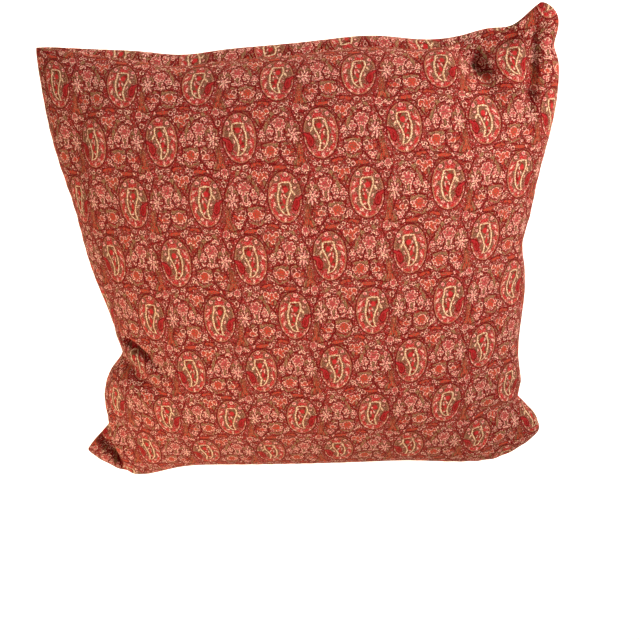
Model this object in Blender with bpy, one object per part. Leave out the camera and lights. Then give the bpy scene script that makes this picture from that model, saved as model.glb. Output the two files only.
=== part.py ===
"""A filled square cushion cover of woven cloth, lying on its back.

Two square panels, a front and a back, are sewn together all round and filled, so the piece is one
solid: a crowned front, sides drawn in between four soft ears, and a back that is flat where it rests.
Units are metres and +Z is up. X runs to the right along the lower side and Y towards the upper side.
The origin is on the floor, below the middle of the box.
"""

import bmesh
import bpy
import numpy as np

# Driving dimensions, in metres.
COVER = 0.450  # side of the empty cover, from seam to seam
FRONT_RISE = 0.076  # height of the crown above the seam
BACK_DROP = 0.070  # depth of the back below the seam, before the floor flattens it
SEAM_HEIGHT = 0.058  # the seam's height above the floor between the ears
SEAM_THICKNESS = 0.0012  # the two layers of cloth where the panels are sewn together
BULGE_DEPTH = 0.045  # the bulges past the seam fade out this far above or below it
FOLD_CLEARANCE = 0.012  # the folds grow to their full height this far above the seam
DEEPEST_FOLD = 0.6  # the most of the filling's depth that a trough may press in
ROUNDING_REACH = 30  # how sharply the rounding of a corner fades along its sides
CORNER_HOLD = 16  # how sharply a side's pinches fade at its two corners
FRONT, BACK = 1, 2  # the columns of the bulges in the table of sides

# Shape exponents. A higher one keeps a curve straight for longer and turns it more sharply.
CROWN_POWER = 2.6  # the crown's arch across and along the face
SIDE_POWER = 2.2  # the inward curve of a side
FADE_POWER = 3  # how a pinch or a bulge fades from the seam towards the middle

# The mesh. Places across and along a panel run from -1 to 1, from seam to seam.
CELLS = 48  # cells along each side of a panel
CELL_BEND = 1.4  # radians; the nearer to a quarter turn, the finer the cells beside the seam

# Each corner of the filled cover. reach is how sharply its own height and flatness fade towards the
# other corners, flatness is the share of the crown that the ear goes without, and rounding is how far
# the very tip is pushed back.
CORNERS = {
    # name: (side in X, side in Y, pulled in along X, pulled in along Y, height, reach, flatness, rounding)
    "upper_left": (-1, 1, 0.001, 0.031, 0.052, 7, 0.35, 0.003),
    "upper_right": (1, 1, 0.026, -0.008, 0.064, 7, 0.45, 0.007),
    "lower_left": (-1, -1, -0.011, 0.005, 0.042, 5, 0.60, 0.008),
    "lower_right": (1, -1, -0.010, 0.050, 0.040, 7, 0.25, 0.008),
}

# Each side of the filled cover: how far its middle is drawn in, and how far the panels bulge past it.
SIDES = {
    # name: (drawn in, front bulge, back bulge)
    "left": (0.040, 0.004, 0.003),
    "right": (0.020, 0.003, 0.003),
    "lower": (0.007, 0.007, 0.003),
    "upper": (0.031, 0.001, 0.013),
}

# Pinches and swellings of the seam line. outward is below zero where the side is pinched.
PINCHES = [
    # (side, place along it from -1 to 1, half length in the same units, outward)
    ("left", -0.27, 0.29, -0.025),
    ("left", -0.34, 0.07, -0.007),
    ("left", -0.74, 0.16, -0.020),
    ("left", 0.62, 0.26, 0.008),
    ("right", 0.62, 0.34, 0.016),
    ("right", 0.93, 0.07, 0.006),
    ("right", 0.80, 0.04, -0.003),
    ("right", 0.02, 0.10, -0.005),
    ("right", -0.52, 0.28, -0.011),
    ("right", -0.73, 0.07, -0.009),
    ("right", -0.90, 0.08, 0.006),
    ("lower", -0.72, 0.18, 0.018),
    ("lower", 0.58, 0.12, 0.003),
    ("lower", 0.78, 0.16, 0.012),
    ("upper", -0.40, 0.14, -0.004),
    ("upper", 0.54, 0.16, -0.009),
    ("upper", 0.72, 0.16, -0.011),
    ("upper", 0.87, 0.08, -0.011),
]

# Soft troughs and ridges in the front, placed from the middle of the cover. rise is below zero for a
# trough.
FOLDS = [
    # (x, y, turn in degrees, half length, half width, rise)
    (0.143, 0.176, -50, 0.026, 0.012, -0.013),
    (0.158, 0.196, 15, 0.030, 0.012, -0.010),
    (0.184, 0.172, 88, 0.034, 0.007, -0.008),
    (0.170, 0.148, 5, 0.030, 0.008, -0.004),
    (0.120, 0.188, 20, 0.020, 0.012, 0.004),
    (-0.150, -0.085, -28, 0.034, 0.008, -0.009),
    (-0.146, -0.108, -8, 0.028, 0.010, 0.004),
    (-0.203, -0.178, -62, 0.034, 0.010, -0.020),
    (-0.176, 0.110, 78, 0.060, 0.010, -0.003),
    (-0.160, 0.100, 80, 0.050, 0.010, 0.002),
    (0.180, 0.000, 10, 0.028, 0.010, -0.005),
    (0.184, -0.122, -22, 0.030, 0.010, -0.006),
    (0.196, -0.160, 40, 0.030, 0.012, -0.005),
]

CLOTH_COLOUR = (0.407, 0.100, 0.063, 1)  # the red, olive and cream of the weave seen together
CLOTH_ROUGHNESS = 0.85


def corner_place(name, axis):
    """How far a corner of the filled cover stands from the middle along X (0) or Y (1)."""
    return COVER / 2 - CORNERS[name][2 + axis]


def side_line(name, at, start, end):
    """How far one side's seam stands from the middle: a straight run between its two corners, drawn
    in most half way along."""
    straight = start + (end - start) * (at + 1) / 2
    return straight - SIDES[name][0] * (1 - np.abs(at) ** SIDE_POWER)


def pinched(name, at, inward):
    """How far the pinches of one side move the cloth: a bell curve along the side for each, which
    fades from the seam (inward 1) to the middle (inward 0)."""
    moved = np.zeros_like(at)
    for side, place, half_length, outward in PINCHES:
        if side == name:
            moved += outward * np.exp(-(((at - place) / half_length) ** 2)) * (1 - at**CORNER_HOLD)
    return moved * np.clip(inward, 0, 1) ** FADE_POWER


def nearness(u, v, side_x, side_y):
    """One at a corner, and falling evenly to nothing at the two sides that don't meet there."""
    return (1 + side_x * u) * (1 + side_y * v) / 4


def plan(u, v):
    """The cover seen from above: x and y blended between the four seam lines."""
    left = -side_line("left", v, corner_place("lower_left", 0), corner_place("upper_left", 0))
    right = side_line("right", v, corner_place("lower_right", 0), corner_place("upper_right", 0))
    lower = -side_line("lower", u, corner_place("lower_left", 1), corner_place("lower_right", 1))
    upper = side_line("upper", u, corner_place("upper_left", 1), corner_place("upper_right", 1))
    x = left + (right - left) * (u + 1) / 2 + pinched("right", v, u) - pinched("left", v, -u)
    y = lower + (upper - lower) * (v + 1) / 2 + pinched("upper", u, v) - pinched("lower", u, -v)
    for side_x, side_y, *_, rounding in CORNERS.values():
        tip = rounding * nearness(u, v, side_x, side_y) ** ROUNDING_REACH
        x -= side_x * tip
        y -= side_y * tip
    return x, y


def seam_and_arch(u, v):
    """The seam's height, and the crown's share of its full height: a broad arch across times a broad
    arch along, with both changed near each corner."""
    arch = np.sqrt((1 - np.abs(u) ** CROWN_POWER) * (1 - np.abs(v) ** CROWN_POWER))
    seam = np.full_like(u, SEAM_HEIGHT)
    for side_x, side_y, _, _, height, reach, flatness, _ in CORNERS.values():
        near = nearness(u, v, side_x, side_y) ** reach
        seam += (height - SEAM_HEIGHT) * near
        arch *= 1 - flatness * near
    return seam, arch


def bulged(u, v, x, y, depth, column):
    """The plan with its panel bulging past the seam: a half wave of the depth from the seam, pushed
    out towards the nearest side and fading at the ears."""
    wave = np.sin(np.pi * np.clip(depth / BULGE_DEPTH, 0, 1)) * (1 - np.abs(u * v) ** FADE_POWER)
    push = {name: wave * SIDES[name][column] for name in SIDES}
    x = x + push["right"] * np.clip(u, 0, 1) ** FADE_POWER - push["left"] * np.clip(-u, 0, 1) ** FADE_POWER
    y = y + push["upper"] * np.clip(v, 0, 1) ** FADE_POWER - push["lower"] * np.clip(-v, 0, 1) ** FADE_POWER
    return x, y


def folded(x, y, depth):
    """The rise of all folds: each a bell curve along and across its own line, and no trough deeper
    than the filling there allows."""
    rise_there = np.zeros_like(x)
    for fold_x, fold_y, turn, half_length, half_width, rise in FOLDS:
        cosine, sine = np.cos(np.radians(turn)), np.sin(np.radians(turn))
        along = ((x - fold_x) * cosine + (y - fold_y) * sine) / half_length
        across = ((y - fold_y) * cosine - (x - fold_x) * sine) / half_width
        rise_there += rise * np.exp(-(along**2) - across**2)
    return np.maximum(rise_there * np.clip(depth / FOLD_CLEARANCE, 0, 1), -DEEPEST_FOLD * depth)


def front_panel(u, v):
    """Points of the front: the plan lifted from the seam by the crown, with its folds."""
    seam, arch = seam_and_arch(u, v)
    depth = FRONT_RISE * arch
    x, y = bulged(u, v, *plan(u, v), depth, column=FRONT)
    z = seam + SEAM_THICKNESS / 2 + depth + folded(x, y, depth)
    return np.stack([x, y, z], axis=-1)


def back_panel(u, v):
    """Points of the back: the plan dropped from the seam by its own arch, and flat on the floor."""
    seam, arch = seam_and_arch(u, v)
    depth = BACK_DROP * arch
    x, y = bulged(u, v, *plan(u, v), depth, column=BACK)
    z = np.maximum(seam - SEAM_THICKNESS / 2 - depth, 0)
    return np.stack([x, y, z], axis=-1)


def cushion_mesh():
    """Two grids of cells shaped as the panels and joined round their rims, in a mesh whose box stands
    over the origin."""
    bm = bmesh.new()
    grids = [
        bmesh.ops.create_grid(bm, x_segments=CELLS, y_segments=CELLS, size=1)["verts"]
        for _ in ("front", "back")
    ]
    flat = np.array([vertex.co[:2] for vertex in grids[0]])
    u, v = (np.sin(CELL_BEND * flat) / np.sin(CELL_BEND)).T
    places = np.concatenate([front_panel(u, v), back_panel(u, v)])
    places[:, :2] -= (places.min(axis=0) + places.max(axis=0))[:2] / 2
    for vertex, place in zip(grids[0] + grids[1], places):
        vertex.co = place
    rims = [edge for edge in bm.edges if edge.is_boundary]
    bmesh.ops.bridge_loops(bm, edges=rims)
    bmesh.ops.recalc_face_normals(bm, faces=bm.faces)
    mesh = bpy.data.meshes.new("cushion_cover")
    bm.to_mesh(mesh)
    bm.free()
    mesh.shade_smooth()
    return mesh


def cloth_material():
    """The woven cloth as one plain colour."""
    material = bpy.data.materials.new("woven_cloth")
    material.use_nodes = True
    shader = material.node_tree.nodes["Principled BSDF"]
    shader.inputs["Base Color"].default_value = CLOTH_COLOUR
    shader.inputs["Roughness"].default_value = CLOTH_ROUGHNESS
    shader.inputs["Metallic"].default_value = 0
    return material


for existing in list(bpy.data.objects):
    bpy.data.objects.remove(existing)
collection = bpy.data.collections.new("cushion")
bpy.context.scene.collection.children.link(collection)

cushion = bpy.data.objects.new("cushion_cover", cushion_mesh())
cushion.data.materials.append(cloth_material())
collection.objects.link(cushion)
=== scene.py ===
import math

import bpy
import numpy as np
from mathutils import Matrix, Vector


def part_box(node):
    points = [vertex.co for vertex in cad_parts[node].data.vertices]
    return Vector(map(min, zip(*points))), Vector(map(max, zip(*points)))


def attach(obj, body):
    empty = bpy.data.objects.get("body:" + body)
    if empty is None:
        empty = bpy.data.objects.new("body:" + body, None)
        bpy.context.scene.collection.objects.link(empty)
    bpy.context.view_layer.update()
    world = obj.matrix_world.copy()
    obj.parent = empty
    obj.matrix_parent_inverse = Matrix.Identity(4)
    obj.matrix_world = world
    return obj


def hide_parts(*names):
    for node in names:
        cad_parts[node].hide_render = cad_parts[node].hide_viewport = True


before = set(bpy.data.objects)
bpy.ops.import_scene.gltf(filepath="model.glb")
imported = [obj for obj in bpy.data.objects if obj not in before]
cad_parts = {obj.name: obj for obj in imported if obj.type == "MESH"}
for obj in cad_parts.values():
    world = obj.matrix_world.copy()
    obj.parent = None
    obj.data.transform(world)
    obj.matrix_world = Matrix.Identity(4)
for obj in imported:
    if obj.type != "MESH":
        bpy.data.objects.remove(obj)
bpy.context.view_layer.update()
scene = bpy.context.scene

# The view and the room. The cushion lies on its back, and the camera looks down on its face from beyond
# the upper side, at the photograph's angle. Two soft boxes with a narrow spread light it, one high at the
# upper right and a warmer one at the lower left. The pale room and the plain floor, which glow, fill in.
LENS, SENSOR = 45, 36  # millimetres
CAMERA_PLACE, CAMERA_TURNS = (0.0854, 0.2436, 0.7271), (-23.3, 5.7, -0.2)  # metres, degrees
FLOOR_WIDTH = 12
FLOOR_COLOUR, FLOOR_ROUGHNESS = (0.93, 0.92, 0.895, 1), 0.9
FLOOR_GLOW_COLOUR, FLOOR_GLOW = (1.0, 0.92, 0.79, 1), 0.86
ROOM_COLOUR, ROOM_STRENGTH = (1.0, 0.985, 0.955, 1), 0.15
SOFT_BOXES = [
    # (name, place, the place it faces, size, watts, spread in degrees, colour)
    ("upper_soft_box", (0.95, 0.60, 0.85), (-0.02, 0.11, 0.08), 0.5, 3.7, 62, (1.0, 0.97, 0.95)),
    ("lower_soft_box", (-0.75, -0.70, 0.80), (-0.08, -0.03, 0.05), 0.4, 2.5, 64, (1.0, 0.86, 0.68)),
]

camera_data = bpy.data.cameras.new("camera")
camera_data.lens = LENS
camera_data.sensor_width = SENSOR
camera = bpy.data.objects.new("camera", camera_data)
camera.location = CAMERA_PLACE
camera.rotation_euler = [math.radians(turn) for turn in CAMERA_TURNS]
scene.collection.objects.link(camera)
scene.camera = camera

for name, place, faced, size, watts, spread, colour in SOFT_BOXES:
    light_data = bpy.data.lights.new(name, "AREA")
    light_data.size, light_data.energy, light_data.color = size, watts, colour
    light_data.spread = math.radians(spread)
    light = bpy.data.objects.new(name, light_data)
    light.location = place
    right, up, rise = np.subtract(faced, place)
    light.rotation_euler = (math.atan2(math.hypot(right, up), -rise), 0, math.atan2(-right, up))
    scene.collection.objects.link(light)

scene.world = bpy.data.worlds.new("room")
scene.world.use_nodes = True
room = scene.world.node_tree.nodes["Background"]
room.inputs["Color"].default_value = ROOM_COLOUR
room.inputs["Strength"].default_value = ROOM_STRENGTH
scene.view_settings.view_transform = "Standard"

floor_mesh = bpy.data.meshes.new("floor")
floor_side = np.array([-1, 1]) * FLOOR_WIDTH / 2
floor_x, floor_y = np.meshgrid(floor_side, floor_side)
floor_corners = np.stack([floor_x, floor_y, np.zeros_like(floor_x)], axis=-1).reshape(-1, 3)
floor_mesh.from_pydata(floor_corners.tolist(), [], [(0, 1, 3, 2)])
floor = bpy.data.objects.new("floor", floor_mesh)
scene.collection.objects.link(floor)
floor_finish = bpy.data.materials.new("plain_floor")
floor_finish.use_nodes = True
floor_shader = floor_finish.node_tree.nodes["Principled BSDF"]
floor_shader.inputs["Base Color"].default_value = FLOOR_COLOUR
floor_shader.inputs["Roughness"].default_value = FLOOR_ROUGHNESS
floor_shader.inputs["Emission Color"].default_value = FLOOR_GLOW_COLOUR
floor_shader.inputs["Emission Strength"].default_value = FLOOR_GLOW
floor_mesh.materials.append(floor_finish)

# The filled cover. Two square panels of woven cloth are sewn together all round, face to face, and turned
# out over a soft filling. The seam is drawn in between four ears, and the cloth bulges past it, creases
# at the pinches and lies flat where the cushion rests. Lengths are in metres.
COVER = 0.450
FRONT_RISE, BACK_DROP = 0.076, 0.070
SEAM_HEIGHT, SEAM_THICKNESS = 0.058, 0.0012
BULGE_DEPTH, FOLD_CLEARANCE, DEEPEST_FOLD, DEEPEST_CREASE = 0.045, 0.012, 0.6, 0.92
ROUNDING_REACH, CORNER_HOLD = 30, 16
FRONT, BACK = 1, 2  # the columns of the bulges in the table of sides
CROWN_POWER, SIDE_POWER, FADE_POWER = 2.6, 2.2, 3
GROOVE_DEPTH, GROOVE_WIDTH, GROOVE_REACH = 0.0040, 0.0042, 40  # the valley that the stitches pull in
PUCKER_RISE, PUCKER_LENGTH, PUCKER_FADE = 0.0013, 0.015, 0.014  # the gathers along the stitches
SLOW_WANDER, SLOW_LENGTH = 2.1, 0.047  # radians by which the gathers' spacing wanders, and over what length
QUICK_WANDER, QUICK_LENGTH = 1.3, 0.021
EVEN_SHARE, UNEVEN_SHARE, UNEVEN_LENGTH = 0.6, 0.4, 0.034  # how the gathers' strength comes and goes
FRONT_SHIFT, BACK_SHIFT = 0.0, 2.4  # radians, so that the two panels' gathers differ
CELLS = 200  # along each side of a panel

CORNERS = {
    # name: (side in X, side in Y, pulled in along X, pulled in along Y, height, reach, flatness, rounding)
    "upper_left": (-1, 1, 0.001, 0.031, 0.052, 7, 0.35, 0.003),
    "upper_right": (1, 1, 0.026, -0.008, 0.064, 7, 0.45, 0.007),
    "lower_left": (-1, -1, -0.011, 0.005, 0.042, 5, 0.60, 0.008),
    "lower_right": (1, -1, -0.010, 0.050, 0.040, 7, 0.25, 0.008),
}
SIDES = {
    # name: (drawn in, front bulge, back bulge)
    "left": (0.040, 0.004, 0.003),
    "right": (0.020, 0.003, 0.003),
    "lower": (0.007, 0.007, 0.003),
    "upper": (0.031, 0.001, 0.013),
}
PINCHES = [
    # (side, place along it from -1 to 1, half length in the same units, outward)
    ("left", -0.27, 0.29, -0.025),
    ("left", -0.34, 0.07, -0.007),
    ("left", -0.74, 0.16, -0.020),
    ("left", 0.62, 0.26, 0.008),
    ("right", 0.62, 0.34, 0.016),
    ("right", 0.93, 0.07, 0.006),
    ("right", 0.80, 0.04, -0.003),
    ("right", 0.02, 0.10, -0.005),
    ("right", -0.52, 0.28, -0.011),
    ("right", -0.73, 0.07, -0.009),
    ("right", -0.90, 0.08, 0.006),
    ("lower", -0.72, 0.18, 0.018),
    ("lower", 0.58, 0.12, 0.003),
    ("lower", 0.78, 0.16, 0.012),
    ("upper", -0.40, 0.14, -0.004),
    ("upper", 0.54, 0.16, -0.009),
    ("upper", 0.72, 0.16, -0.011),
    ("upper", 0.87, 0.08, -0.011),
]
FOLDS = [
    # (x, y, turn in degrees, half length, half width, rise)
    (0.143, 0.176, -50, 0.026, 0.012, -0.013),
    (0.158, 0.196, 15, 0.030, 0.012, -0.010),
    (0.184, 0.172, 88, 0.034, 0.007, -0.008),
    (0.170, 0.148, 5, 0.030, 0.008, -0.004),
    (0.120, 0.188, 20, 0.020, 0.012, 0.004),
    (-0.150, -0.085, -28, 0.034, 0.008, -0.009),
    (-0.146, -0.108, -8, 0.028, 0.010, 0.004),
    (-0.203, -0.178, -62, 0.034, 0.010, -0.020),
    (-0.176, 0.110, 78, 0.060, 0.010, -0.003),
    (-0.160, 0.100, 80, 0.050, 0.010, 0.002),
    (0.180, 0.000, 10, 0.028, 0.010, -0.005),
    (0.184, -0.122, -22, 0.030, 0.010, -0.006),
    (0.196, -0.160, 40, 0.030, 0.012, -0.005),
]
CREASES = [
    # (x, y, turn in degrees, half length, half width, rise)
    (0.135, 0.188, -58, 0.020, 0.0050, -0.024),
    (0.146, 0.200, -8, 0.018, 0.0060, -0.024),
    (0.150, 0.194, -20, 0.018, 0.010, -0.006),
    (0.120, 0.186, -58, 0.024, 0.006, 0.004),
    (0.1855, 0.178, 90, 0.034, 0.0035, -0.003),
    (0.168, 0.155, 6, 0.026, 0.0045, -0.007),
    (-0.143, -0.062, -20, 0.018, 0.0045, -0.012),
    (-0.122, -0.074, -30, 0.016, 0.0050, -0.006),
    (-0.156, -0.078, -10, 0.022, 0.006, 0.006),
    (-0.193, -0.176, -78, 0.036, 0.0045, -0.020),
    (-0.182, -0.172, -78, 0.038, 0.008, 0.007),
    (0.176, -0.150, 30, 0.030, 0.005, -0.006),
    (0.190, -0.100, -20, 0.026, 0.005, -0.006),
]


def corner_place(name, axis):
    """Half the cover, less what the corner is pulled in along X (0) or Y (1)."""
    return COVER / 2 - CORNERS[name][2 + axis]


def side_line(name, at, start, end):
    """A straight run from one corner to the other, less a draw-in that is full at the middle and falls
    with a power of the distance from it."""
    straight = start + (end - start) * (at + 1) / 2
    return straight - SIDES[name][0] * (1 - np.abs(at) ** SIDE_POWER)


def pinched(name, at, inward):
    """The sum of one bell curve along the side for each pinch, times a power of the way from the
    middle (0) to the seam (1)."""
    moved = np.zeros_like(at)
    for side, place, half_length, outward in PINCHES:
        if side == name:
            moved += outward * np.exp(-(((at - place) / half_length) ** 2)) * (1 - at**CORNER_HOLD)
    return moved * np.clip(inward, 0, 1) ** FADE_POWER


def nearness(u, v, side_x, side_y):
    """The share of one corner in a plain blend between all four."""
    return (1 + side_x * u) * (1 + side_y * v) / 4


def plan(u, v):
    """x and y: the blend between the four seam lines, moved by the pinches, with the corners' tips
    pushed back by a high power of the nearness to them."""
    left = -side_line("left", v, corner_place("lower_left", 0), corner_place("upper_left", 0))
    right = side_line("right", v, corner_place("lower_right", 0), corner_place("upper_right", 0))
    lower = -side_line("lower", u, corner_place("lower_left", 1), corner_place("lower_right", 1))
    upper = side_line("upper", u, corner_place("upper_left", 1), corner_place("upper_right", 1))
    x = left + (right - left) * (u + 1) / 2 + pinched("right", v, u) - pinched("left", v, -u)
    y = lower + (upper - lower) * (v + 1) / 2 + pinched("upper", u, v) - pinched("lower", u, -v)
    for side_x, side_y, *_, rounding in CORNERS.values():
        tip = rounding * nearness(u, v, side_x, side_y) ** ROUNDING_REACH
        x -= side_x * tip
        y -= side_y * tip
    return x, y


def seam_and_arch(u, v):
    """The seam's height, and the root of one arch across times one arch along, each being one less a
    power of the way to the seam, both changed near each corner by a power of the nearness."""
    arch_across = np.clip(1 - np.abs(u) ** CROWN_POWER, 0, 1)
    arch_along = np.clip(1 - np.abs(v) ** CROWN_POWER, 0, 1)
    arch = np.sqrt(arch_across * arch_along)
    seam = np.full_like(u, SEAM_HEIGHT)
    for side_x, side_y, _, _, height, reach, flatness, _ in CORNERS.values():
        near = nearness(u, v, side_x, side_y) ** reach
        seam += (height - SEAM_HEIGHT) * near
        arch *= 1 - flatness * near
    return seam, arch


def bulged(u, v, x, y, depth, column):
    """The plan moved out towards each side by half a sine wave of the depth from the seam, and moved
    in by a narrow bell curve of that depth, which is the groove of the stitches."""
    wave = np.sin(np.pi * np.clip(depth / BULGE_DEPTH, 0, 1)) * (1 - np.abs(u * v) ** FADE_POWER)
    push = {name: wave * SIDES[name][column] for name in SIDES}
    x = x + push["right"] * np.clip(u, 0, 1) ** FADE_POWER - push["left"] * np.clip(-u, 0, 1) ** FADE_POWER
    y = y + push["upper"] * np.clip(v, 0, 1) ** FADE_POWER - push["lower"] * np.clip(-v, 0, 1) ** FADE_POWER
    groove = GROOVE_DEPTH * np.exp(-((depth / GROOVE_WIDTH) ** 2))
    x = x - groove * np.sign(u) * np.abs(u) ** GROOVE_REACH
    y = y - groove * np.sign(v) * np.abs(v) ** GROOVE_REACH
    return x, y


def folded(x, y, depth, folds, deepest):
    """The sum of one bell curve along and across each fold's own line, growing with the depth and no
    deeper than a share of it."""
    rise_there = np.zeros_like(x)
    for fold_x, fold_y, turn, half_length, half_width, rise in folds:
        cosine, sine = np.cos(np.radians(turn)), np.sin(np.radians(turn))
        along = ((x - fold_x) * cosine + (y - fold_y) * sine) / half_length
        across = ((y - fold_y) * cosine - (x - fold_x) * sine) / half_width
        rise_there += rise * np.exp(-(along**2) - across**2)
    return np.maximum(rise_there * np.clip(depth / FOLD_CLEARANCE, 0, 1), -deepest * depth)


def puckered(along, depth, shift):
    """The gathers that the stitches pull up: a sine wave along the seam whose phase wanders with two
    slower waves, growing and fading with the depth from the seam."""
    phase = 2 * np.pi * along / PUCKER_LENGTH + SLOW_WANDER * np.sin(along / SLOW_LENGTH + shift)
    phase += QUICK_WANDER * np.sin(along / QUICK_LENGTH)
    strength = EVEN_SHARE + UNEVEN_SHARE * np.sin(along / UNEVEN_LENGTH + 2 * shift)
    near_seam = depth / PUCKER_FADE * np.exp(1 - depth / PUCKER_FADE)
    return PUCKER_RISE * strength * near_seam * np.sin(phase)


def gathered(u, v, x, y, depth, shift):
    """The gathers of all four sides, each held to its own side by a power of the way to the seam."""
    beside = puckered(y, depth, shift) * np.abs(u) ** GROOVE_REACH
    above = puckered(x, depth, shift + 1) * np.abs(v) ** GROOVE_REACH
    return beside + above


def front_panel(u, v, folds, deepest):
    """The plan, lifted from the seam by the crown, its folds and the gathers."""
    seam, arch = seam_and_arch(u, v)
    depth = FRONT_RISE * arch
    x, y = bulged(u, v, *plan(u, v), depth, column=FRONT)
    z = seam + SEAM_THICKNESS / 2 + depth + folded(x, y, depth, folds, deepest)
    z += gathered(u, v, x, y, depth, FRONT_SHIFT)
    return np.stack([x, y, z], axis=-1)


def back_panel(u, v):
    """The plan, dropped from the seam by the back's arch and its gathers, and cut off flat at the floor."""
    seam, arch = seam_and_arch(u, v)
    depth = BACK_DROP * arch
    x, y = bulged(u, v, *plan(u, v), depth, column=BACK)
    z = np.maximum(seam - SEAM_THICKNESS / 2 - depth - gathered(u, v, x, y, depth, BACK_SHIFT), 0)
    return np.stack([x, y, z], axis=-1)


def rim_indices(count):
    """The indices round a square grid of count by count points, once, from the lower left corner."""
    grid = np.arange(count * count).reshape(count, count)
    return np.concatenate([grid[:-1, 0], grid[-1, :-1], grid[:0:-1, -1], grid[0, :0:-1]])


def grid_faces(count):
    """Four corners for each cell of a grid, in the order that faces up."""
    grid = np.arange(count * count).reshape(count, count)
    return np.stack([grid[:-1, :-1], grid[1:, :-1], grid[1:, 1:], grid[:-1, 1:]], axis=-1).reshape(-1, 4)


def lengths_from_middle(points, axis):
    """The length of cloth from the panel's middle line to each point, added up along one axis of the
    grid, and below zero on the left and lower half."""
    step = np.linalg.norm(np.diff(points, axis=axis), axis=-1)
    walked = np.insert(np.cumsum(step, axis=axis), 0, 0, axis=axis)
    return walked - np.take(walked, [points.shape[axis] // 2], axis=axis)


# The cloth has slipped a little over the filling: its rows sag towards the sides, and it hangs askew at
# the lower right. The back is cut from another place of the cloth.
ROW_SAG, ROW_LEAN, ROW_SKEW = 0.0144, 0.0025, 0.0080
FILLING_STRETCH, ROW_CREEP, ROW_DRIFT = 0.0056, 0.0095, 0.0034
COLUMN_LEAN, COLUMN_BOW = 0.0051, 0.0028
BACK_CUT = (0.021, 0.017)


def cloth_places(points):
    """How far along and up its own weave each point of a panel lies: the lengths of cloth from the
    middle, less a slip that is a quadratic curve of both."""
    along, up = lengths_from_middle(points, 0), lengths_from_middle(points, 1)
    a, b = along / (COVER / 2), up / (COVER / 2)
    slip_along = ROW_DRIFT - COLUMN_LEAN * b + COLUMN_BOW * b**2
    slip_up = FILLING_STRETCH * b - ROW_LEAN * a - ROW_SKEW * a * b - ROW_SAG * a**2 - ROW_CREEP * b**2
    return np.stack([along - slip_along, up - slip_up], axis=-1)


places_along = np.sin(np.linspace(-np.pi / 2, np.pi / 2, CELLS + 1))
across, upward = np.meshgrid(places_along, places_along, indexing="ij")
front = front_panel(across, upward, FOLDS + CREASES, DEEPEST_CREASE)
back = back_panel(across, upward)
# The sharp creases squeeze the cloth where it is and don't draw the weave along.
front_weave = cloth_places(front_panel(across, upward, FOLDS, DEEPEST_FOLD))
# The back's pattern reads the right way from behind.
back_weave = cloth_places(back) * (-1, 1) + BACK_CUT
panel_count = (CELLS + 1) ** 2
rim = rim_indices(CELLS + 1)
next_rim = np.roll(rim, -1)
front_faces = grid_faces(CELLS + 1)
back_faces = front_faces[:, ::-1] + panel_count
seam_faces = np.stack([rim, rim + panel_count, next_rim + panel_count, next_rim], axis=-1)
faces = np.concatenate([front_faces, back_faces, seam_faces])
points = np.concatenate([front.reshape(-1, 3), back.reshape(-1, 3)])
cad_low, cad_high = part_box("cushion_cover")
points += (np.array(cad_low + cad_high) - points.min(axis=0) - points.max(axis=0)) / 2 * (1, 1, 0)

cushion_mesh = bpy.data.meshes.new("cushion")
cushion_mesh.vertices.add(len(points))
cushion_mesh.vertices.foreach_set("co", points.ravel())
cushion_mesh.loops.add(faces.size)
cushion_mesh.loops.foreach_set("vertex_index", faces.ravel())
cushion_mesh.polygons.add(len(faces))
cushion_mesh.polygons.foreach_set("loop_start", np.arange(len(faces)) * 4)
cushion_mesh.update(calc_edges=True)
cushion_mesh.validate()
cushion_mesh.shade_smooth()

# Two maps: the weave's own places in metres, where the seam's strip takes the front's, and the places of
# the front, the back and that strip in the baked picture.
FRONT_SHARE, BACK_SHARE, BAKE_GAP = 0.68, 0.28, 0.01
STRIP_LOW, STRIP_HIGH = 0.75, 0.77
weave_places = np.concatenate([front_weave.reshape(-1, 2), back_weave.reshape(-1, 2)])


def filled_square(weave, share, corner):
    """The weave's places of one panel, scaled to fit a square of that share at that corner."""
    low, high = weave.reshape(-1, 2).min(axis=0), weave.reshape(-1, 2).max(axis=0)
    return (weave.reshape(-1, 2) - low) / (high - low).max() * share + corner


bake_places = np.concatenate([
    filled_square(front_weave, FRONT_SHARE, BAKE_GAP),
    filled_square(back_weave, BACK_SHARE, (FRONT_SHARE + 2 * BAKE_GAP, BAKE_GAP)),
])
along_strip = np.linspace(BAKE_GAP, 1 - BAKE_GAP, len(rim) + 1)
starts, ends = along_strip[:-1], along_strip[1:]
strip_places = np.empty((len(rim), 4, 2))
strip_places[..., 0] = np.stack([starts, starts, ends, ends], axis=-1)
strip_places[..., 1] = (STRIP_LOW, STRIP_HIGH, STRIP_HIGH, STRIP_LOW)
panel_corners, seam_corners = faces[: -len(seam_faces)].ravel(), seam_faces.ravel() % panel_count
for map_name, panel_uv, seam_uv in (
    ("weave", weave_places[panel_corners], weave_places[seam_corners]),
    ("OFBake", bake_places[panel_corners], strip_places.reshape(-1, 2)),
):
    layer = cushion_mesh.uv_layers.new(name=map_name)
    layer.data.foreach_set("uv", np.concatenate([panel_uv, seam_uv]).ravel())
cushion = bpy.data.objects.new("cushion", cushion_mesh)
scene.collection.objects.link(cushion)
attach(cushion, "root")
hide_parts("cushion_cover")

# The woven paisley cloth of both panels. Its weave carries rows of small paisleys, each row turned to face
# the other way and set half a repeat along, with flowers, rings, leaves and vines between them. The figures
# are drawn in millimetres from the middle of one paisley, on the places along and up the weave.
REPEAT, ROW = 63.25, 48.16
FIRST_COLUMN, FIRST_ROW = -0.5, 183.0  # one paisley's middle, from the middle of the front
PALE_WIDTH, CONTOUR_WIDTH = 0.66, 0.62
WANDER = 1.1  # how far the threads pull a figure's edge to and fro
PER_METRE = 1000.0
FAR_AWAY, MARGIN = 99.0, 1.0  # further off than any figure, and how far round itself a figure is felt


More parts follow.
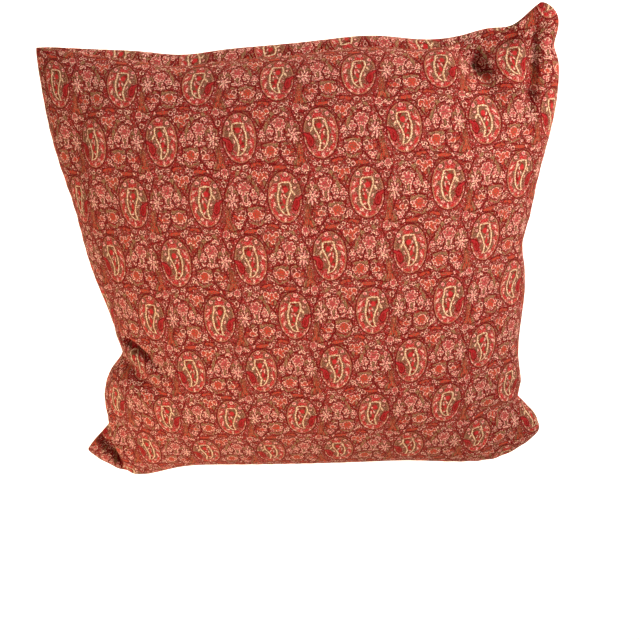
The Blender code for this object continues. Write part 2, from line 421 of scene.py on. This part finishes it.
def shown(red, green, blue):
    """The shader's value of a colour that looks like this on a screen: each channel over 255, to the
    power 2.2."""
    return tuple((channel / 255) ** 2.2 for channel in (red, green, blue)) + (1,)


DEEP_RED, WINE, MAROON = shown(152, 36, 33), shown(118, 20, 19), shown(80, 12, 13)
BRIGHT_RED, CRIMSON, ROSE = shown(196, 46, 42), shown(174, 40, 46), shown(194, 84, 86)
ORANGE, BROWN, OLIVE = shown(182, 70, 44), shown(126, 72, 54), shown(98, 78, 52)
GOLD, CREAM, PALE = shown(176, 120, 84), shown(252, 224, 182), shown(252, 202, 180)

RINGS = [
    # (x, y, radius)
    (-16.0, 14.2, 1.9), (-16.1, 13.0, 1.7), (-14.0, -29.0, 1.4), (-6.5, -22.3, 1.5), (-3.0, -22.9, 1.8),
    (2.2, -22.0, 1.5), (3.6, -21.6, 1.3), (2.0, -28.2, 1.7), (31.2, -19.0, 1.1), (13.4, -12.8, 1.5),
    (15.2, -13.8, 1.5), (13.8, -15.0, 1.3), (22.6, -24.4, 1.9), (19.2, -22.0, 1.6), (18.2, -2.2, 1.5),
    (-29.4, -9.4, 2.3), (-31.5, 20.6, 1.4), (-28.4, -2.0, 1.2),
]
FLOWERS = [
    # (x, y, radius)
    (27.9, 11.0, 1.9), (30.4, 13.1, 1.9), (33.6, 12.6, 1.9), (35.2, 9.6, 1.8), (28.9, 8.2, 1.7),
    (31.6, 9.6, 3.2), (34.4, 7.0, 1.6), (29.8, 6.0, 1.6), (32.6, 5.4, 1.6), (28.4, -1.4, 1.5),
    (30.6, -2.8, 1.2), (32.8, -1.8, 1.5), (24.2, 7.6, 1.4), (23.1, 5.0, 1.7), (25.6, 4.6, 1.8),
    (22.2, 2.7, 1.2), (25.2, 2.2, 1.1), (17.8, 4.2, 1.5), (16.3, 1.4, 1.5), (18.9, 1.5, 1.5),
    (-17.6, 23.2, 2.7), (-16.0, 21.4, 1.3), (-19.4, 21.6, 1.3), (-26.7, -17.4, 1.6), (-23.6, -17.6, 1.6),
    (-25.1, -20.1, 1.5), (-11.6, 21.4, 1.3), (-9.6, 20.9, 1.2), (-13.0, 22.4, 1.2), (-21.7, 10.8, 1.5),
    (-21.7, 9.2, 1.4), (-21.6, 1.0, 1.6),
]
BLOSSOMS = [
    # (x, y, radius)
    (14.0, 19.5, 2.4), (13.0, 17.3, 1.5), (17.4, 20.3, 1.6), (22.2, 20.9, 2.2), (20.2, 18.9, 1.8),
    (17.6, 17.6, 2.6), (19.3, 15.0, 1.9), (18.4, -10.8, 1.6), (19.7, -13.2, 1.6), (22.3, -14.5, 1.6),
    (25.1, -14.2, 1.6), (27.5, -12.5, 1.6), (28.8, -10.0, 1.5), (23.4, -10.6, 4.0), (-27.0, -12.6, 2.4),
    (-29.4, -13.4, 1.5), (8.6, -28.0, 1.6),
]
SPIKES = [
    # (x, y, half length, half width, turn in degrees)
    (-18.6, 1.5, 3.0, 1.0, 4), (-24.4, 0.9, 2.4, 0.9, -6), (-23.4, 3.4, 2.6, 0.8, -62),
    (-20.2, 4.0, 2.6, 0.8, 66), (-23.4, -2.4, 3.0, 0.8, 58), (-21.0, -3.6, 2.8, 0.7, 86),
    (-19.4, -2.2, 2.8, 0.8, -56), (-21.9, 6.3, 2.0, 0.6, 84), (29.4, 2.2, 2.4, 0.6, 98),
    (33.2, 2.4, 2.4, 0.6, 80), (23.4, -0.9, 1.8, 0.7, -50), (-26.6, 17.2, 2.6, 1.2, -45),
    (-29.0, 17.6, 1.8, 0.8, 40), (24.6, -1.6, 1.2, 0.6, 30), (16.4, -16.6, 1.8, 0.7, -45),
    (-4.4, 24.0, 1.6, 0.7, 60), (6.2, -25.2, 1.6, 0.7, 70),
]
LEAVES = [
    # (x, y, half length, half width, turn in degrees)
    (-16.8, -13.6, 7.0, 1.5, 94), (-18.4, -20.2, 3.2, 1.3, 62), (-14.4, -20.2, 3.2, 1.3, 116),
    (-24.0, -12.6, 3.4, 1.1, 40), (2.6, 24.4, 5.4, 1.4, 4), (9.4, -21.0, 2.6, 1.2, 20),
    (13.6, -20.2, 2.0, 1.0, -20), (17.8, 13.2, 2.0, 1.2, 80),
]
OLIVES = [
    # (x, y, half length, half width, turn in degrees)
    (-24.6, 7.0, 3.0, 1.5, 60), (-19.0, 7.2, 3.0, 1.3, -60), (14.6, 12.2, 2.8, 1.1, 80),
    (21.4, 8.0, 4.0, 1.2, 78), (23.5, -6.3, 5.0, 1.2, 0), (19.6, -17.8, 3.2, 0.6, -50),
    (25.6, -18.0, 3.4, 0.6, 20), (-16.6, -8.4, 9.0, 0.9, 102), (-11.0, 25.0, 3.6, 1.6, 84),
    (-27.8, 21.8, 3.2, 1.2, -60), (27.4, -27.0, 2.6, 1.2, 30), (-20.6, -20.8, 3.6, 1.2, 70),
    (24.8, 15.4, 3.2, 1.0, 60), (-32.0, 3.0, 3.6, 1.2, 90), (5.6, -29.6, 2.6, 1.1, 20),
    (-26.6, -5.6, 2.8, 1.0, 0), (-18.2, -10.0, 8.0, 0.8, 96), (28.6, -8.0, 3.0, 0.9, 84),
]
VINES = [
    # (x, y) at one end, then (x, y) at the other
    (24.6, 17.0, 26.6, 9.0), (26.6, 9.0, 27.6, 3.0), (27.6, 3.0, 25.2, -3.2), (25.2, -3.2, 16.6, -5.4),
    (16.6, -5.4, 17.2, -15.0), (-28.6, 16.0, -26.8, 9.0), (-26.8, 9.0, -27.8, 2.6),
    (-27.8, 2.6, -26.6, -5.0), (-21.6, 20.0, -19.2, 13.4), (-19.2, 13.4, -16.0, 8.0),
    (-16.0, 8.0, -15.6, -2.0), (19.0, 9.4, 15.4, 4.8), (19.6, 10.0, 20.4, 13.6),
    (-19.0, 18.4, -12.6, 17.6), (-12.6, 17.6, -4.6, 23.0), (-4.6, 23.0, 9.0, 21.0),
    (9.0, 21.0, 15.8, 8.8), (-17.8, -3.0, -13.6, -18.6), (-21.6, -8.0, -17.2, -19.0),
    (-9.6, -19.4, -17.6, -27.0), (-31.8, -15.2, -27.6, -21.6), (-27.6, -21.6, -21.0, -23.4),
    (6.4, -19.6, 16.4, -18.4), (31.0, -5.2, 30.6, -17.2), (28.4, 17.2, 33.6, 17.4),
    (33.4, -4.8, 29.8, -4.8), (5.0, 26.8, 12.0, 28.0), (-16.6, -6.0, -16.4, -22.4),
    (-18.0, -8.0, -19.6, -22.0),
]
STEMS = [
    # (x, y) at the top, then (x, y) at the foot
    (-17.9, -7.0, -20.2, -23.0), (-17.2, -6.0, -17.9, -23.0), (-16.5, -6.0, -15.6, -23.0),
    (-15.8, -7.0, -13.2, -23.0),
]
SPECKS = [
    # (x, y, half length, half width, turn in degrees)
    (9.2, 8.2, 2.0, 0.7, -48), (10.4, 2.6, 2.2, 0.8, -50), (8.8, -4.6, 2.2, 0.7, -76),
    (-7.0, -16.4, 2.2, 0.7, 80), (0.9, -16.4, 1.8, 0.8, 90), (4.6, -12.4, 1.4, 0.8, 20),
    (-10.2, -11.2, 1.8, 0.7, -50), (-13.6, 3.4, 2.6, 0.7, -58), (-6.9, 4.4, 1.5, 0.6, 62),
    (11.0, -10.0, 1.4, 0.6, 60), (-12.4, -6.0, 1.6, 0.6, 80), (7.0, -14.6, 1.5, 0.6, 30),
    (-4.4, -1.6, 1.2, 0.5, -60), (10.8, 13.4, 1.2, 0.6, -70),
]
EYES = [
    # (x, y, radius)
    (5.7, 15.8, 1.8), (-9.0, 13.0, 1.9), (-1.8, 18.6, 1.9), (-8.2, 8.2, 1.2),
]
BEAN_HEIGHTS = (-12.8, -12.0, -9.0, -6.0, -3.0, 0.0, 4.5, 8.0, 12.0, 12.7)
BEAN_MIDDLES = (-2.3, -0.6, 1.1, 1.95, 1.9, 1.5, 0.35, -0.6, -0.7, -0.7)
BEAN_HALVES = (0.2, 1.4, 2.35, 2.75, 3.4, 4.0, 4.8, 4.8, 4.1, 3.1)

cloth = bpy.data.materials.new("paisley_cloth")
cloth.use_nodes = True
cloth_shader = cloth.node_tree.nodes["Principled BSDF"]
drawing = cloth.node_tree


def put(node, socket, value):
    """Join a link, or set a plain value, at one socket."""
    if isinstance(value, bpy.types.NodeSocket):
        drawing.links.new(value, node.inputs[socket])
    elif value is not None:
        node.inputs[socket].default_value = value


def maths(operation, *values):
    """One sum of plain numbers."""
    node = drawing.nodes.new("ShaderNodeMath")
    node.operation = operation
    for socket, value in enumerate(values):
        put(node, socket, value)
    return node.outputs[0]


def places(operation, *values, output="Vector", scale=None):
    """One sum of places on the cloth."""
    node = drawing.nodes.new("ShaderNodeVectorMath")
    node.operation = operation
    for socket, value in enumerate(values):
        put(node, socket, value)
    put(node, "Scale", scale)
    return node.outputs[output]


def fading(value, full, gone):
    """One at the first value, none at the second, and a straight line through both. The mix that takes
    it holds it between none and one."""
    node = drawing.nodes.new("ShaderNodeMapRange")
    node.clamp = False
    sockets = ("Value", "From Min", "From Max", "To Min", "To Max")
    for socket, number in zip(sockets, (value, full, gone, 1, 0)):
        put(node, socket, number)
    return node.outputs["Result"]


def over(share, below, above):
    """The second colour laid over the first by a share."""
    node = drawing.nodes.new("ShaderNodeMix")
    node.data_type = "RGBA"
    for socket, value in ((0, share), (6, below), (7, above)):
        put(node, socket, value)
    return node.outputs[2]


def laid(value, full, gone, below, above):
    """The second colour laid over the first: wholly where the value is at full, and not at all where it
    is at gone."""
    return over(fading(value, full, gone), below, above)


def cloudy(scale, at, detail=2.0, output="Fac"):
    """Smooth noise between none and one."""
    node = drawing.nodes.new("ShaderNodeTexNoise")
    node.noise_dimensions = "2D"
    put(node, "Vector", at)
    put(node, "Scale", scale)
    put(node, "Detail", detail)
    return node.outputs[output]


def copies(x, y):
    """Every place near the repeat where a place of it comes again: a whole repeat along, or turned over,
    half a repeat along and one row up or down. The last number is -1 where it is turned over."""
    for step in (-1, 0, 1):
        yield x + step * REPEAT, y, 1
        yield REPEAT / 2 - x + step * REPEAT, y + ROW, -1
        yield REPEAT / 2 - x + step * REPEAT, y - ROW, -1


def reaches(x, y, size):
    """Whether a figure of that size at that place touches the repeat."""
    return abs(x) < REPEAT / 2 + size + MARGIN and abs(y) < ROW / 2 + size + MARGIN


def discs(table, at):
    """The distance from the nearest disc's edge, below zero inside: the least distance from a middle,
    less the radius."""
    nearest = FAR_AWAY
    for x, y, radius in table:
        for copy_x, copy_y, _ in copies(x, y):
            if reaches(copy_x, copy_y, radius):
                gap = maths("SUBTRACT", places("DISTANCE", at, (copy_x, copy_y, 0), output="Value"), radius)
                nearest = maths("MINIMUM", nearest, gap)
    return nearest


def ovals(table, at):
    """The distance from the nearest oval's edge, below zero inside: the place from the middle, shortened
    along the oval by its half width over its half length, and its length less the half width."""
    nearest = FAR_AWAY
    for x, y, half_length, half_width, turn in table:
        for copy_x, copy_y, facing in copies(x, y):
            if reaches(copy_x, copy_y, half_length):
                way = np.array((math.cos(math.radians(turn)), math.sin(math.radians(turn)) * facing, 0))
                kept = 1 - half_width / half_length
                from_middle = places("SUBTRACT", at, (copy_x, copy_y, 0))
                along_way = places("DOT_PRODUCT", from_middle, tuple(way * kept), output="Value")
                taken = places("SCALE", tuple(way), scale=along_way)
                gap = maths("SUBTRACT", places("DISTANCE", from_middle, taken, output="Value"), half_width)
                nearest = maths("MINIMUM", nearest, gap)
    return nearest


def strokes(table, at):
    """The distance from the nearest line between two ends: from the place to the point of the line that
    is its share along, held between none and one."""
    nearest = FAR_AWAY
    for x, y, end_x, end_y in table:
        for (copy_x, copy_y, _), (far_x, far_y, _) in zip(copies(x, y), copies(end_x, end_y)):
            run = np.array((far_x - copy_x, far_y - copy_y, 0))
            if reaches((copy_x + far_x) / 2, (copy_y + far_y) / 2, np.abs(run).max() / 2):
                from_end = places("SUBTRACT", at, (copy_x, copy_y, 0))
                share = places("DOT_PRODUCT", from_end, tuple(run / (run @ run)), output="Value")
                share = maths("MINIMUM", maths("MAXIMUM", share, 0.0), 1.0)
                on_line = places("SCALE", tuple(run), scale=share)
                nearest = maths("MINIMUM", nearest, places("DISTANCE", from_end, on_line, output="Value"))
    return nearest


def measured(name, measure, table, at):
    """The measure of one table, worked out in a node group of its own: a place goes in, and its distance
    from the table's figures comes out."""
    global drawing
    outer, drawing = drawing, bpy.data.node_groups.new(name, "ShaderNodeTree")
    drawing.interface.new_socket("Place", in_out="INPUT", socket_type="NodeSocketVector")
    drawing.interface.new_socket("Distance", in_out="OUTPUT", socket_type="NodeSocketFloat")
    place_in = drawing.nodes.new("NodeGroupInput").outputs[0]
    put(drawing.nodes.new("NodeGroupOutput"), 0, measure(table, place_in))
    inner, drawing = drawing, outer
    group = drawing.nodes.new("ShaderNodeGroup")
    group.node_tree = inner
    put(group, 0, at)
    return group.outputs[0]


def curve_of(value, from_low, from_high, amounts, stops):
    """A smooth curve through amounts at the stops, which lie between the two ends."""
    node = drawing.nodes.new("ShaderNodeFloatCurve")
    put(node, "Value", fading(value, from_high, from_low))
    low, high = min(amounts), max(amounts)
    curve = node.mapping.curves[0]
    points_there = [((stop - from_low) / (from_high - from_low), (amount - low) / (high - low))
                    for stop, amount in zip(stops, amounts)]
    for place in points_there[1:-1]:
        curve.points.new(*place)
    for point, place in zip(curve.points, points_there):
        point.location = place
    node.mapping.update()
    return maths("MULTIPLY_ADD", node.outputs[0], high - low, low)


weave_map = drawing.nodes.new("ShaderNodeUVMap")
weave_map.uv_map = "weave"
weave = places("SCALE", weave_map.outputs[0], scale=PER_METRE)
wander = drawing.nodes.new("ShaderNodeSeparateColor")
put(wander, 0, cloudy(0.55, weave, output="Color"))
moved = drawing.nodes.new("ShaderNodeCombineXYZ")
put(moved, "X", maths("MULTIPLY_ADD", wander.outputs[0], WANDER, -WANDER / 2))
put(moved, "Y", maths("MULTIPLY_ADD", wander.outputs[1], WANDER, -WANDER / 2))
drawn = places("ADD", weave, moved.outputs[0])
parts = drawing.nodes.new("ShaderNodeSeparateXYZ")
put(parts, 0, places("SUBTRACT", drawn, (FIRST_COLUMN, FIRST_ROW, 0)))
row_place = maths("DIVIDE", parts.outputs["Y"], ROW)
row_number = maths("ROUND", row_place)
facing = maths("PINGPONG", row_number, 1.0)
figure_y = maths("MULTIPLY", maths("SUBTRACT", row_place, row_number), ROW)
column_place = maths("SUBTRACT", parts.outputs["X"], maths("MULTIPLY", facing, REPEAT / 2))
unturned_x = maths("WRAP", column_place, REPEAT / 2, -REPEAT / 2)
figure_x = maths("MULTIPLY", unturned_x, maths("MULTIPLY_ADD", facing, 2.0, -1.0))
joined = drawing.nodes.new("ShaderNodeCombineXYZ")
put(joined, "X", figure_x)
put(joined, "Y", figure_y)
figure = joined.outputs[0]

# The ground between the figures, mixed thread by thread, with dark curls, olive patches and vines. The
# clouds' scales are in clouds to a millimetre.
grain = cloudy(1.1, weave, detail=3.0)
drift = cloudy(0.32, weave, detail=2.0)
flecks = drawing.nodes.new("ShaderNodeSeparateColor")
put(flecks, 0, cloudy(0.75, weave, detail=1.0, output="Color"))
colour = laid(drift, 0.62, 0.42, DEEP_RED, BROWN)
colour = laid(flecks.outputs[0], 0.70, 0.60, colour, ROSE)
colour = laid(flecks.outputs[1], 0.72, 0.66, colour, PALE)
colour = laid(flecks.outputs[2], 0.34, 0.42, colour, WINE)
curl = maths("ABSOLUTE", maths("SUBTRACT", wander.outputs[2], 0.5))
colour = laid(curl, 0.018, 0.045, colour, MAROON)
olive_gap = measured("olive_patches", ovals, OLIVES, figure)
colour = laid(olive_gap, -0.1, 0.3, colour, laid(grain, 0.62, 0.45, OLIVE, GOLD))
ring_gap = measured("rings", discs, RINGS, figure)
flower_gap = measured("flowers", discs, FLOWERS, figure)
blossom_gap = measured("blossoms", discs, BLOSSOMS, figure)
spike_gap = measured("spikes", ovals, SPIKES, figure)
leaf_gap = measured("leaves", ovals, LEAVES, figure)
nearest_gap = ring_gap
for gap in (flower_gap, blossom_gap, spike_gap, leaf_gap):
    nearest_gap = maths("MINIMUM", nearest_gap, gap)
contour = laid(grain, 0.60, 0.45, MAROON, WINE)
colour = laid(nearest_gap, CONTOUR_WIDTH * 0.6, CONTOUR_WIDTH * 1.2, colour, contour)
colour = laid(measured("vines", strokes, VINES, figure), 0.35, 0.75, colour, contour)

# The figures themselves, with the stems on top. Their pale outlines are broken by the threads that cross
# them, and only the leaves have none.
pale = laid(grain, 0.58, 0.40, laid(drift, 0.60, 0.40, PALE, CREAM), ROSE)
pale = laid(flecks.outputs[2], 0.62, 0.52, pale, BROWN)
for gap, ground, mark in (
    (leaf_gap, ORANGE, BRIGHT_RED),
    (blossom_gap, BRIGHT_RED, ORANGE),
    (flower_gap, CRIMSON, ROSE),
    (ring_gap, MAROON, WINE),
    (spike_gap, CRIMSON, ROSE),
):
    threads = laid(grain, 0.60, 0.42, ground, mark)
    inside = laid(flecks.outputs[0], 0.60, 0.46, threads, BROWN)
    colour = laid(gap, -0.15, 0.2, colour, inside)
    if gap is not leaf_gap:
        rim_gap = maths("ABSOLUTE", maths("ADD", gap, PALE_WIDTH / 2))
        colour = laid(rim_gap, PALE_WIDTH * 0.35, PALE_WIDTH * 0.75, colour, pale)
stem = laid(grain, 0.56, 0.44, laid(drift, 0.58, 0.44, OLIVE, GOLD), contour)
colour = laid(measured("stems", strokes, STEMS, figure), 0.15, 0.5, colour, stem)

# The medallion round each paisley: an egg-shaped field with a wine-red band at its edge, a gold line inside
# that, rings, dashes and blocks of red, and a red hook beside the paisley's tip.
EGG_MIDDLE, EGG_HALVES = (0.0, 1.0, 0.0), (14.2, 21.0, 1.0)
BAND_INSET, LINE_INSET, EYE_INSET = 0.5, 1.7, 0.5
SOFT_EDGE, CRISP_EDGE, THIN_EDGE = (-0.2, 0.5), (-0.2, 0.2), (0.0, 0.35)  # where a figure is full and gone
egg_place = places("DIVIDE", places("SUBTRACT", figure, EGG_MIDDLE), EGG_HALVES)
egg_length = places("LENGTH", egg_place, output="Value")
egg_slope = places("LENGTH", places("DIVIDE", egg_place, EGG_HALVES), output="Value")
egg_gap = maths("DIVIDE", maths("MULTIPLY", maths("SUBTRACT", egg_length, 1.0), egg_length), egg_slope)
field = laid(flecks.outputs[1], 0.66, 0.54, laid(drift, 0.60, 0.42, CRIMSON, OLIVE), ROSE)
field = laid(flecks.outputs[0], 0.42, 0.50, field, DEEP_RED)
PATCHES = [
    # (x, y, half length, half width, turn in degrees)
    (-9.4, 7.4, 5.4, 3.6, 84), (5.9, 15.8, 3.6, 3.2, -20), (-9.0, 13.2, 3.6, 3.0, 50),
    (-6.0, 0.5, 4.0, 1.6, 110), (-3.4, -6.5, 3.0, 1.2, 90), (6.8, 2.4, 2.6, 1.2, 90),
    (6.4, -8.0, 3.4, 1.2, 66), (11.4, -1.2, 1.8, 1.2, 80),
]
patch_gap = measured("medallion_patches", ovals, PATCHES, figure)
field = laid(patch_gap, *SOFT_EDGE, field, laid(grain, 0.62, 0.42, OLIVE, BROWN))
BLOCKS = [
    # (x, y, half length, half width, turn in degrees)
    (-1.2, 15.2, 3.2, 1.6, 0), (-8.0, 8.2, 1.6, 1.4, 0), (8.0, 7.4, 2.2, 1.6, -40),
    (11.6, 6.0, 3.2, 1.2, 96), (9.8, -3.4, 3.4, 1.4, 80), (8.6, -10.6, 3.0, 1.7, 60),
    (-3.8, -16.2, 2.4, 1.7, 0), (4.0, -16.4, 2.4, 1.6, 8), (-12.0, -4.4, 3.4, 1.2, 94),
    (-9.6, -9.4, 2.6, 1.4, 60),
]
block_gap = measured("medallion_blocks", ovals, BLOCKS, figure)
field = laid(block_gap, *SOFT_EDGE, field, laid(grain, 0.62, 0.42, BRIGHT_RED, CRIMSON))
field = laid(curl, 0.014, 0.036, field, contour)
pale_curl = maths("ABSOLUTE", maths("SUBTRACT", flecks.outputs[1], 0.60))
field = laid(pale_curl, 0.010, 0.028, field, pale)
line_gap = maths("ABSOLUTE", maths("ADD", egg_gap, LINE_INSET))
field = laid(line_gap, 0.25, 0.6, field, laid(grain, 0.56, 0.44, GOLD, BROWN))
field = laid(measured("medallion_dashes", ovals, SPECKS, figure), *THIN_EDGE, field, pale)
eye_gap = measured("medallion_rings", discs, EYES, figure)
field = laid(eye_gap, 0.3, 0.7, field, contour)
field = laid(eye_gap, -0.9, -0.5, field, ROSE)
eye_rim = maths("ABSOLUTE", maths("ADD", eye_gap, EYE_INSET))
field = laid(eye_rim, 0.3, 0.65, field, pale)
HOOK = [
    # (x, y, half length, half width, turn in degrees)
    (-8.6, -4.6, 4.4, 2.3, 102), (-11.0, -0.4, 3.0, 1.0, -34),
]
HOOK_CORE = [
    # (x, y, half length, half width, turn in degrees)
    (-8.4, -4.8, 2.6, 1.1, 104),
]
hook_gap = measured("hook", ovals, HOOK, figure)
field = laid(hook_gap, 0.5, 0.9, field, contour)
field = laid(hook_gap, *CRISP_EDGE, field, laid(grain, 0.58, 0.40, DEEP_RED, CRIMSON))
core_gap = measured("hook_middle", ovals, HOOK_CORE, figure)
field = laid(core_gap, -0.1, 0.5, field, laid(grain, 0.62, 0.46, WINE, DEEP_RED))
band_gap = maths("ABSOLUTE", maths("ADD", egg_gap, BAND_INSET))
field = laid(band_gap, 0.35, 0.85, field, contour)
colour = laid(egg_gap, -0.2, 0.3, colour, field)

# The paisley itself: a cream outline with a spur, flat on top and curled to a tip, on brown and olive, with
# red seeds in it. Its middle and half width are curves of the height.
bean_parts = drawing.nodes.new("ShaderNodeSeparateXYZ")
put(bean_parts, 0, figure)
bean_low, bean_high = BEAN_HEIGHTS[0], BEAN_HEIGHTS[-1]
bean_middle = curve_of(bean_parts.outputs["Y"], bean_low, bean_high, BEAN_MIDDLES, BEAN_HEIGHTS)
bean_half = curve_of(bean_parts.outputs["Y"], bean_low, bean_high, BEAN_HALVES, BEAN_HEIGHTS)
from_bean_middle = maths("ABSOLUTE", maths("SUBTRACT", bean_parts.outputs["X"], bean_middle))
bean_gap = maths("SUBTRACT", from_bean_middle, bean_half)
bean_gap = maths("MAXIMUM", bean_gap, maths("SUBTRACT", bean_parts.outputs["Y"], bean_high))
bean_gap = maths("MAXIMUM", bean_gap, maths("SUBTRACT", bean_low, bean_parts.outputs["Y"]))
SEEDS = [
    # (x, y, half length, half width, turn in degrees)
    (-0.9, 6.8, 2.1, 1.8, 90), (0.9, -2.0, 2.2, 0.9, 80), (2.0, -6.6, 1.4, 1.0, 60),
    (1.2, 3.0, 1.2, 0.8, 20),
]
GLINTS = [
    # (x, y, half length, half width, turn in degrees)
    (1.7, 6.3, 1.2, 0.6, 70), (-0.2, 2.0, 1.4, 0.5, 60), (2.5, 1.2, 1.6, 0.5, 86),
    (1.8, -7.8, 1.0, 0.6, -40), (2.8, 9.4, 1.0, 0.6, -50),
]
bean_field = laid(drift, 0.58, 0.44, laid(grain, 0.6, 0.42, OLIVE, BROWN), WINE)
seed_gap = measured("paisley_seeds", ovals, SEEDS, figure)
bean_field = laid(seed_gap, *SOFT_EDGE, bean_field, laid(grain, 0.6, 0.42, CRIMSON, BRIGHT_RED))
bean_field = laid(measured("paisley_dashes", ovals, GLINTS, figure), *THIN_EDGE, bean_field, pale)
colour = laid(bean_gap, 0.9, 1.3, colour, over(0.5, OLIVE, contour))
colour = laid(bean_gap, *CRISP_EDGE, colour, bean_field)
SPUR = [
    # (x, y, half length, half width, turn in degrees)
    (-6.9, 4.2, 1.6, 0.6, 62),
]
thread_cream = laid(grain, 0.56, 0.38, CREAM, GOLD)
colour = laid(maths("ABSOLUTE", bean_gap), 0.5, 0.85, colour, thread_cream)
colour = laid(measured("paisley_spur", ovals, SPUR, figure), *THIN_EDGE, colour, thread_cream)

# The yarn is uneven: single threads come out darker or paler than their neighbours.
DARKER, PALER = 0.35, 0.22  # the shares of the darkest and the palest threads' colour
speckle = cloudy(1.9, weave, detail=1.0)
colour = over(maths("MULTIPLY", fading(speckle, 0.30, 0.50), DARKER), colour, MAROON)
colour = over(maths("MULTIPLY", fading(speckle, 0.80, 0.64), PALER), colour, PALE)
put(cloth_shader, "Base Color", colour)

# The weave's relief and finish: a fine rib of weft over warp on matt yarn, with a faint sheen of its fuzz.
WARP, WEFT = 0.62, 0.50  # millimetres from thread to thread
UNEVENNESS = 1.5  # the yarn's own lumps, in heights of the rib
RELIEF_STRENGTH, RELIEF_DEPTH = 0.5, 0.0001
thread_parts = drawing.nodes.new("ShaderNodeSeparateXYZ")
put(thread_parts, 0, weave)
warp_wave = maths("SINE", maths("MULTIPLY", thread_parts.outputs["X"], 2 * math.pi / WARP))
weft_wave = maths("SINE", maths("MULTIPLY", thread_parts.outputs["Y"], 2 * math.pi / WEFT))
relief = maths("ADD", maths("MULTIPLY", warp_wave, weft_wave), maths("MULTIPLY", grain, UNEVENNESS))
bump = drawing.nodes.new("ShaderNodeBump")
put(bump, "Height", relief)
put(bump, "Strength", RELIEF_STRENGTH)
put(bump, "Distance", RELIEF_DEPTH)
put(cloth_shader, "Normal", bump.outputs[0])
put(cloth_shader, "Roughness", 0.88)
put(cloth_shader, "Specular IOR Level", 0.04)
put(cloth_shader, "Sheen Weight", 0.08)
put(cloth_shader, "Sheen Roughness", 0.4)
put(cloth_shader, "Sheen Tint", (1.0, 0.36, 0.16, 1))
cushion_mesh.materials.append(cloth)
